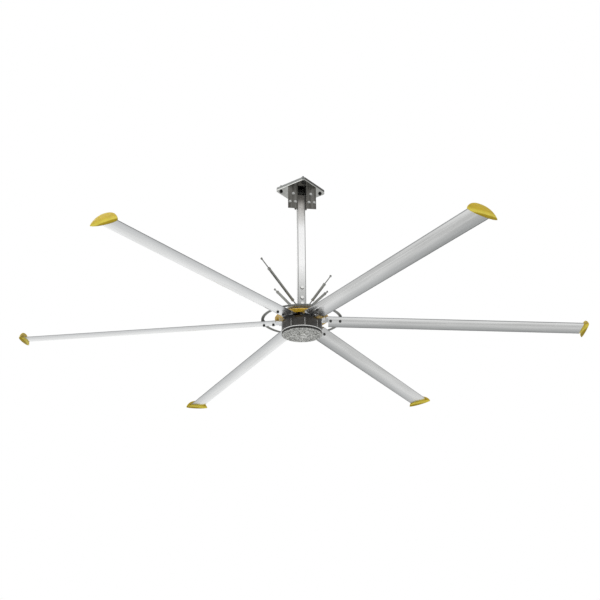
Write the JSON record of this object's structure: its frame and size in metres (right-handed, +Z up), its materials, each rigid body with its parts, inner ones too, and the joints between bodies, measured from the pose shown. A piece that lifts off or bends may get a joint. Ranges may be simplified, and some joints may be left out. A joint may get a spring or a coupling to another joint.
{
  "type": "industrial ceiling fan",
  "caption": "Large slow ceiling fan: a flat motor hung on a square tube turns long hollow blades with curved yellow end pieces, steadied by turnbuckle stays.",
  "frame": {"origin": "centre of the ceiling plate's top face, between the four studs", "axes": "+Z up into the ceiling; X and Y parallel to the plate's sides; the fan axis runs down along -Z"},
  "size_m": [4.6244, 4.9594, 1.5409],
  "materials": {
    "galvanised": "galvanised, slightly dull",
    "light_paint": "light grey powder coat, semi-gloss",
    "dark_steel": "dark grey coat, satin",
    "bolt_steel": "zinc plated, worn",
    "machined_steel": "turned and ground",
    "black_paint": "black powder coat, gloss",
    "cast_aluminium": "cast, matt",
    "blade_aluminium": "extruded, bright satin",
    "arm_aluminium": "machined, bright",
    "yellow_paint": "golden yellow powder coat",
    "yellow_plastic": "moulded, golden yellow, satin",
    "copper": "enamelled copper wire",
    "magnet": "nickel plated",
    "rubber": "black, matt"
  },
  "bodies": {
    "frame": {"ceiling_plate": "galvanised", "hanger_plate": "light_paint", "ceiling_studs": "bolt_steel", "hanger_angle_left": "dark_steel", "hanger_angle_right": "dark_steel", "hanger_bolts": "bolt_steel", "cross_bolts": "bolt_steel", "downrod": "light_paint", "mast_base": "light_paint", "sleeve_bolts": "light_paint", "stay_lugs": "dark_steel", "stay_pins": "bolt_steel", "motor_shaft": "machined_steel", "flange_bolts": "dark_steel", "stator_core": "machined_steel", "windings": "copper", "bearing_inner_races": "machined_steel", "shaft_nut": "bolt_steel"},
    "rotor": {"motor_housing": "black_paint", "upper_end_shield": "black_paint", "bottom_cover": "cast_aluminium", "trim_ring": "light_paint", "cover_gasket": "rubber", "tie_bolts": "cast_aluminium", "magnets": "magnet", "bearing_outer_races": "machined_steel", "bearing_balls": "machined_steel", "shaft_seal": "rubber", "hub_disc": "yellow_paint", "hub_bolts": "dark_steel", "blade_bolts": "dark_steel", "safety_ring": "dark_steel", "blade_arm_1": "arm_aluminium", "blade_arm_2": "arm_aluminium", "blade_arm_3": "arm_aluminium", "blade_arm_4": "arm_aluminium", "blade_arm_5": "arm_aluminium", "blade_arm_6": "arm_aluminium", "blade_1": "blade_aluminium", "blade_2": "blade_aluminium", "blade_3": "blade_aluminium", "blade_4": "blade_aluminium", "blade_5": "blade_aluminium", "blade_6": "blade_aluminium", "winglet_1": "yellow_plastic", "winglet_2": "yellow_plastic", "winglet_3": "yellow_plastic", "winglet_4": "yellow_plastic", "winglet_5": "yellow_plastic", "winglet_6": "yellow_plastic"},
    "stay_1": {"turnbuckle_1": "dark_steel", "eye_bolts_1": "bolt_steel"},
    "stay_2": {"turnbuckle_2": "dark_steel", "eye_bolts_2": "bolt_steel"},
    "stay_3": {"turnbuckle_3": "dark_steel", "eye_bolts_3": "bolt_steel"},
    "stay_4": {"turnbuckle_4": "dark_steel", "eye_bolts_4": "bolt_steel"}
  },
  "joints": [
    {"name": "rotor_spin", "type": "hinge", "parent": "frame", "child": "rotor", "pos_m": [0, 0, -1.345], "axis": [0, 0, 1], "continuous": true},
    {"name": "stay_1_pivot", "type": "hinge", "parent": "frame", "child": "stay_1", "pos_m": [0.076, 0, -1.219], "axis": [0, -1, 0], "range_deg": [-20, 40]},
    {"name": "stay_2_pivot", "type": "hinge", "parent": "frame", "child": "stay_2", "pos_m": [0, 0.076, -1.219], "axis": [1, 0, 0], "range_deg": [-20, 40]},
    {"name": "stay_3_pivot", "type": "hinge", "parent": "frame", "child": "stay_3", "pos_m": [-0.076, 0, -1.219], "axis": [0, 1, 0], "range_deg": [-20, 40]},
    {"name": "stay_4_pivot", "type": "hinge", "parent": "frame", "child": "stay_4", "pos_m": [0, -0.076, -1.219], "axis": [-1, 0, 0], "range_deg": [-20, 40]}
  ]
}
